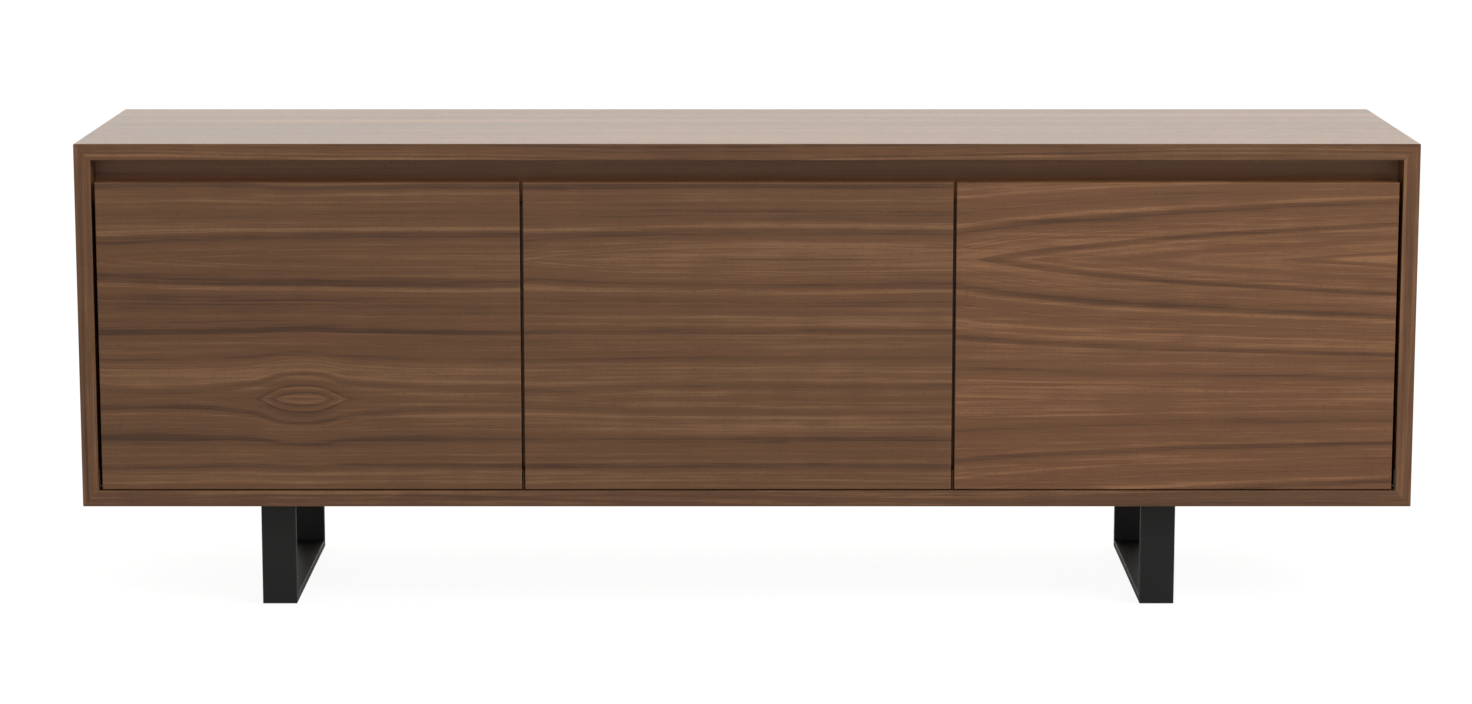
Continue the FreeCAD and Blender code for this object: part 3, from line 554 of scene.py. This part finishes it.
def low_dome(tree, radius, height):
    """A low round head in two steps, standing on the ground plane."""
    half_height = calc(tree, "MULTIPLY", height, 0.5)
    shoulder = calc(tree, "MULTIPLY", radius, 0.95)
    rim = shape(tree, "GeometryNodeMeshCone", Vertices=24, Radius_Bottom=radius, Radius_Top=shoulder,
                Depth=half_height)
    crown = shape(tree, "GeometryNodeMeshCone", Vertices=24, Radius_Bottom=shoulder,
                  Radius_Top=calc(tree, "MULTIPLY", radius, 0.66), Depth=half_height)
    return [rim, raised(tree, crown, half_height)]


def finished(tree, source, sink, piece):
    """Sets the piece at every place, aimed and turned, and gives it its finish."""
    aim = shape(tree, "FunctionNodeEulerToRotation", Euler=source["Aim"])
    placed = shape(tree, "GeometryNodeInstanceOnPoints", Points=source["Places"], Instance=piece,
                   Rotation=aim)
    turn = new_node(tree, "FunctionNodeRandomValue", data_type="FLOAT")
    floats = [socket for socket in turn.inputs if socket.type == "VALUE"]
    floats[0].default_value, floats[1].default_value = 0.0, 2 * math.pi
    feed(tree, turn.inputs["Seed"], source["Seed"])
    angle = [socket for socket in turn.outputs if socket.type == "VALUE"][0]
    about = shape(tree, "ShaderNodeCombineXYZ", Z=angle)
    turned = shape(tree, "GeometryNodeRotateInstances", Instances=placed, Rotation=about)
    real = shape(tree, "GeometryNodeRealizeInstances", Geometry=turned)
    dressed = shape(tree, "GeometryNodeSetMaterial", Geometry=real, Material=source["Finish"])
    feed(tree, sink["Pieces"], dressed)


PLACED = (("Places", "Geometry", None), ("Aim", "Vector", None), ("Seed", "Int", 1),
          ("Finish", "Material", None))


def screw_tree(name, socketed):
    """Screws with a cross or a six-sided recess, heads up from the places they are given."""
    tree, source, sink = new_group(
        name,
        PLACED + (("Head Radius", "Float", 0.0035), ("Head Height", "Float", 0.0015),
                  ("Shank Radius", "Float", 0.0015), ("Shank Length", "Float", 0.012),
                  ("Recess Span", "Float", 0.0038), ("Recess Depth", "Float", 0.001)),
        (("Pieces", "Geometry"),), "GeometryNodeTree")
    head, tall = source["Head Radius"], source["Head Height"]
    reach, span = source["Shank Length"], source["Recess Span"]
    tip = calc(tree, "MULTIPLY", source["Shank Radius"], 0.5)
    shank = shape(tree, "GeometryNodeMeshCone", Vertices=12, Radius_Bottom=tip,
                  Radius_Top=source["Shank Radius"], Depth=calc(tree, "MULTIPLY_ADD", tall, 0.3, reach))
    shank = raised(tree, shank, calc(tree, "MULTIPLY", reach, -1.0))
    blank = united(tree, low_dome(tree, head, tall) + [shank])
    deep = calc(tree, "MULTIPLY", source["Recess Depth"], 2.0)
    if socketed:
        half_span = calc(tree, "MULTIPLY", span, 0.5)
        key = shape(tree, "GeometryNodeMeshCylinder", Vertices=6, Radius=half_span, Depth=deep)
        tools = [raised(tree, key, tall)]
    else:
        thin = calc(tree, "MULTIPLY", span, 0.24)
        blades = (shape(tree, "ShaderNodeCombineXYZ", X=span, Y=thin, Z=deep),
                  shape(tree, "ShaderNodeCombineXYZ", X=thin, Y=span, Z=deep))
        tools = [raised(tree, shape(tree, "GeometryNodeMeshCube", Size=size), tall) for size in blades]
    finished(tree, source, sink, hollowed(tree, blank, tools))
    return tree


cross_screws = screw_tree("cross_screws", False)
socket_screws = screw_tree("socket_screws", True)


def grow(name, tree, places, facing, body, slot, finish, seed=1, replaces=(), **values):
    """A tree's pieces at the places, as one plain mesh that rides on a body."""
    marks = bpy.data.meshes.new(name + "_places")
    marks.from_pydata([tuple(place) for place in places], [], [])
    holder = bpy.data.objects.new(name + "_places", marks)
    bpy.context.scene.collection.objects.link(holder)
    modifier = holder.modifiers.new("pieces", "NODES")
    modifier.node_group = tree
    given = {"Aim": FACING[facing], "Seed": seed, "Finish": finish}
    given.update({label.replace("_", " "): value for label, value in values.items()})
    for item in tree.interface.items_tree:
        if item.item_type == "SOCKET" and item.in_out == "INPUT" and item.name in given:
            modifier[item.identifier] = given[item.name]
    now = bpy.context.evaluated_depsgraph_get()
    mesh = bpy.data.meshes.new_from_object(holder.evaluated_get(now))
    bpy.data.objects.remove(holder)
    piece = bpy.data.objects.new(name, mesh)
    bpy.context.scene.collection.objects.link(piece)
    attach(piece, body)
    if replaces:
        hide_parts(*replaces)


TOUCH = 0.0001


def merged(boxes):
    """Boxes with those that touch one another joined into one."""
    kept = []
    for low, high in boxes:
        apart = []
        for other_low, other_high in kept:
            if all(a <= d + TOUCH and c <= b + TOUCH for a, b, c, d in zip(low, high, other_low, other_high)):
                low, high = Vector(map(min, low, other_low)), Vector(map(max, high, other_high))
            else:
                apart.append((other_low, other_high))
        kept = apart + [(low, high)]
    return kept


def spots(node):
    """The middle of each separate solid in a CAD node."""
    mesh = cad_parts[node].data
    boxes = []
    for face in mesh.polygons:
        corners = [mesh.vertices[index].co for index in face.vertices]
        boxes.append((Vector(map(min, *corners)), Vector(map(max, *corners))))
    count = 0
    while len(boxes) != count:
        count = len(boxes)
        boxes = merged(boxes)
    return [(low + high) / 2 for low, high in boxes]


back_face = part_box("left_back_panel")[1].y
grow("back_screws", cross_screws, [(spot.x, back_face, spot.z) for spot in spots("back_panel_screws")],
     "+Y", "carcass", "bright_steel", nickel, seed=3, replaces=("back_panel_screws",),
     Head_Radius=0.0035, Head_Height=0.0015, Shank_Length=0.019, Recess_Span=0.0042, Recess_Depth=0.0009)

bar_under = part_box("left_leg_top_bar")[0].z
grow("leg_bolts", socket_screws, [(spot.x, spot.y, bar_under) for spot in spots("leg_screws")],
     "-Z", "carcass", "hinge_steel", black_plate, seed=5, replaces=("leg_screws",), Shank_Radius=0.0025,
     Head_Radius=0.0055, Head_Height=0.003, Shank_Length=0.023, Recess_Span=0.0046, Recess_Depth=0.0018)

PIVOT_PLATE = 0.002
PIVOT_SCREW_BACK, PIVOT_SCREW_LIFTS = 0.0055, (0.007, 0.021)
for side, facing in (("left", "+X"), ("right", "-X")):
    low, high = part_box(side + "_end_pivot")
    plate = low.x + PIVOT_PLATE if facing == "+X" else high.x - PIVOT_PLATE
    places = [(plate, high.y - PIVOT_SCREW_BACK, low.z + lift) for lift in PIVOT_SCREW_LIFTS]
    grow(side + "_end_pivot_screws", cross_screws, places, facing, "carcass", "hinge_steel", bronze, seed=7,
         Head_Radius=0.0028, Head_Height=0.0004, Shank_Length=0.012, Recess_Span=0.0034,
         Recess_Depth=0.0003)

BRACKET_PLATE, BRACKET_SCREW_IN, BRACKET_SCREW_RISE = 0.002, 0.0185, 0.009
STRIKE_SCREW_INS = (0.0045, 0.0315)
for bay in ("left", "centre", "right"):
    body = bay + "_flap_body"
    low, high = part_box(bay + "_stay_brackets")
    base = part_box(bay + "_flap")[1].y + BRACKET_PLATE
    middle = (low.z + high.z) / 2
    places = [(x, base, middle + rise) for x in (low.x + BRACKET_SCREW_IN, high.x - BRACKET_SCREW_IN)
              for rise in (-BRACKET_SCREW_RISE, BRACKET_SCREW_RISE)]
    grow(bay + "_bracket_screws", cross_screws, places, "+Y", body, "hinge_steel", black_plate, seed=11,
         Head_Radius=0.0032, Head_Height=0.0008, Shank_Length=0.013, Recess_Span=0.0038,
         Recess_Depth=0.0006)
    low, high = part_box(bay + "_strike_plates")
    middle = (low.z + high.z) / 2
    near, far = STRIKE_SCREW_INS
    places = [(x, high.y, middle) for x in (low.x + near, low.x + far, high.x - far, high.x - near)]
    grow(bay + "_strike_screws", cross_screws, places, "+Y", body, "bright_steel", nickel, seed=13,
         Head_Radius=0.0022, Head_Height=0.0001, Shank_Length=0.010, Recess_Span=0.0028,
         Recess_Depth=0.00008)

CATCH_SCREW_OFF = 0.017
catch_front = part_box("magnetic_catches")[0].y
places = [(spot.x + off, catch_front, spot.z) for spot in spots("magnetic_catches")
          for off in (-CATCH_SCREW_OFF, CATCH_SCREW_OFF)]
grow("catch_screws", cross_screws, places, "-Y", "carcass", "bright_steel", nickel, seed=17,
     Head_Radius=0.0020, Head_Height=0.0001, Shank_Length=0.010, Recess_Span=0.0026, Recess_Depth=0.00008)


# ---------------------------------------------------------------- shelf sockets and bumpers
# Rows of plastic sockets 32 mm apart let each shelf sit higher or lower on its pins.  Soft round
# bumpers on the dividers' front edges take up the gap behind the closed flaps.

SOCKET_STEP = 0.032
SOCKET_STEPS = (-2, -1, 0, 1, 2)
BUMPER_OFF, BUMPER_HEIGHTS = 0.0065, (0.230, 0.535)
BUMPER_PLAY = 0.0003


def socket_tree():
    """Plain flanged sockets, open towards the bay."""
    tree, source, sink = new_group(
        "shelf_sockets",
        PLACED + (("Radius", "Float", 0.0041), ("Bore", "Float", 0.0027), ("Lip", "Float", 0.0005)),
        (("Pieces", "Geometry"),), "GeometryNodeTree")
    body = shape(tree, "GeometryNodeMeshCylinder", Vertices=24, Radius=source["Radius"],
                 Depth=calc(tree, "MULTIPLY", source["Lip"], 2.0))
    bore = shape(tree, "GeometryNodeMeshCylinder", Vertices=24, Radius=source["Bore"], Depth=source["Lip"])
    bore = raised(tree, bore, calc(tree, "MULTIPLY", source["Lip"], 0.7))
    finished(tree, source, sink, hollowed(tree, body, [bore]))
    return tree


def bumper_tree():
    """Low round domes, standing on the faces they are given."""
    tree, source, sink = new_group(
        "bumpers", PLACED + (("Radius", "Float", 0.004), ("Height", "Float", 0.0035)),
        (("Pieces", "Geometry"),), "GeometryNodeTree")
    finished(tree, source, sink, united(tree, low_dome(tree, source["Radius"], source["Height"])))
    return tree


shelf_sockets = socket_tree()
bumpers = bumper_tree()
pins = spots("shelf_pins")
faces = []
for board in ("left_side_panel", "left_divider", "right_divider", "right_side_panel"):
    low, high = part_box(board)
    faces += [(high.x, "+X")] if board != "right_side_panel" else []
    faces += [(low.x, "-X")] if board != "left_side_panel" else []
for facing in ("+X", "-X"):
    places = []
    for pin in pins:
        near, way = min(faces, key=lambda face: abs(face[0] - pin.x))
        if way == facing:
            places += [(near, pin.y, pin.z + step * SOCKET_STEP) for step in SOCKET_STEPS]
    grow("shelf_sockets_" + ("right" if facing == "-X" else "left"), shelf_sockets, places, facing, "carcass",
         "black_plastic", plastic)

flap_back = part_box("centre_flap")[1].y
places = []
for side in ("left", "right"):
    low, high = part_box(side + "_divider")
    middle = (low.x + high.x) / 2
    places += [(middle + off, low.y, height) for off in (-BUMPER_OFF, BUMPER_OFF)
               for height in BUMPER_HEIGHTS]
grow("divider_bumpers", bumpers, places, "-Y", "carcass", "black_plastic", plastic,
     Radius=0.0040, Height=places[0][1] - flap_back - BUMPER_PLAY)


# ---------------------------------------------------------------- splines and dowels
# Birch plywood splines in the mitres and turned birch dowels in the dividers, glued and out of sight.

def birch(name, seed):
    """Peeled birch in thin plies."""
    material, tree, shader, here = principled(name, IOR=1.45)
    fibres = noise(tree, here, (300, 12, 300), seed, 3)
    plies = line_noise(tree, reordered(tree, here, "XYZ")[1]["Z"], 700, seed, 1)
    colour = tint(tree, fibres, (0.52, 0.38, 0.24), (0.68, 0.54, 0.37))
    feed(tree, shader.inputs["Base Color"], tint(tree, remap(tree, plies, 0.4, 0.6, 0, 0.35), colour,
                                                 (0.36, 0.24, 0.14)))
    feed(tree, shader.inputs["Roughness"], calc(tree, "MULTIPLY_ADD", fibres, 0.2, 0.5))
    bump(tree, shader, fibres, 0.0001, 0.5)
    return material


birch_ply = birch("birch_ply", 1.7)
dress("mitre_splines", birch_ply)
dress("divider_dowels", birch_ply)


# ---------------------------------------------------------------- floor, light and camera
# A plain pale floor under wide soft light, seen from straight ahead and a little above the top.

FLOOR_SPAN = 60
CAMERA_X, CAMERA_BACK, CAMERA_HIGH = -0.0147, 5.181, 1.2235
CAMERA_DOWN = math.radians(9.48)
CAMERA_LENS = 95.38
KEY_PLACE, KEY_AIM, KEY_SIZE, KEY_POWER = (4.0, -3.4, 3.9), (0.3, 0, 0.3), (3.5, 2.5), 222
FILL_PLACE, FILL_AIM, FILL_SIZE, FILL_POWER = (-0.5, -6.8, 2.0), (0, 0, 0.4), (3.5, 2.0), 25

floor_mesh = bpy.data.meshes.new("floor")
half = FLOOR_SPAN / 2
floor_corners = [(-half, -half, 0), (half, -half, 0), (half, half, 0), (-half, half, 0)]
floor_mesh.from_pydata(floor_corners, [], [(0, 1, 2, 3)])
floor = bpy.data.objects.new("floor", floor_mesh)
bpy.context.scene.collection.objects.link(floor)
floor_paint, tree, shader, here = principled("floor_paint", IOR=1.45)
speckle = noise(tree, here, (3, 3, 3), 1.0, 2)
seen = new_node(tree, "ShaderNodeLightPath").outputs["Is Camera Ray"]
paint = tint(tree, speckle, (0.34, 0.34, 0.34), (0.36, 0.36, 0.36))
feed(tree, shader.inputs["Base Color"], tint(tree, seen, paint, (0.14, 0.14, 0.14)))
shader.inputs["Roughness"].default_value = 0.9
shader.inputs["Specular IOR Level"].default_value = 0.0
shader.inputs["Emission Color"].default_value = (1, 1, 1, 1)
feed(tree, shader.inputs["Emission Strength"], remap(tree, seen, 0.0, 1.0, 0.15, 0.93))
floor_mesh.materials.append(floor_paint)

world = bpy.data.worlds.new("studio")
world.use_nodes = True
bpy.context.scene.world = world
tree = world.node_tree
background = tree.nodes["Background"]
direction = new_node(tree, "ShaderNodeSeparateXYZ")
feed(tree, direction.inputs[0], new_node(tree, "ShaderNodeTexCoord").outputs["Generated"])
glow = remap(tree, direction.outputs["Y"], -0.6, 0.8, 0.40, 1.35)
seen = new_node(tree, "ShaderNodeLightPath").outputs["Is Camera Ray"]
background.inputs["Color"].default_value = (1.0, 0.955, 0.90, 1)
feed(tree, background.inputs["Strength"], calc(tree, "MAXIMUM", glow, seen))


def soft_light(name, place, target, size, power):
    """A rectangular softbox aimed at a point, itself out of the camera's sight."""
    lamp = bpy.data.lights.new(name, "AREA")
    lamp.shape = "RECTANGLE"
    lamp.size, lamp.size_y = size
    lamp.energy = power
    holder = bpy.data.objects.new(name, lamp)
    bpy.context.scene.collection.objects.link(holder)
    holder.location = place
    holder.rotation_euler = (Vector(target) - Vector(place)).to_track_quat("-Z", "Y").to_euler()
    holder.visible_camera = False


soft_light("key", KEY_PLACE, KEY_AIM, KEY_SIZE, KEY_POWER)
soft_light("fill", FILL_PLACE, FILL_AIM, FILL_SIZE, FILL_POWER)

camera = bpy.data.cameras.new("camera")
camera.sensor_width = 36
camera.lens = CAMERA_LENS
camera_holder = bpy.data.objects.new("camera", camera)
bpy.context.scene.collection.objects.link(camera_holder)
camera_holder.location = (CAMERA_X, cad_low.y - CAMERA_BACK, CAMERA_HIGH)
camera_holder.rotation_euler = (math.pi / 2 - CAMERA_DOWN, 0, 0)
bpy.context.scene.camera = camera_holder
bpy.context.scene.view_settings.view_transform = "Standard"
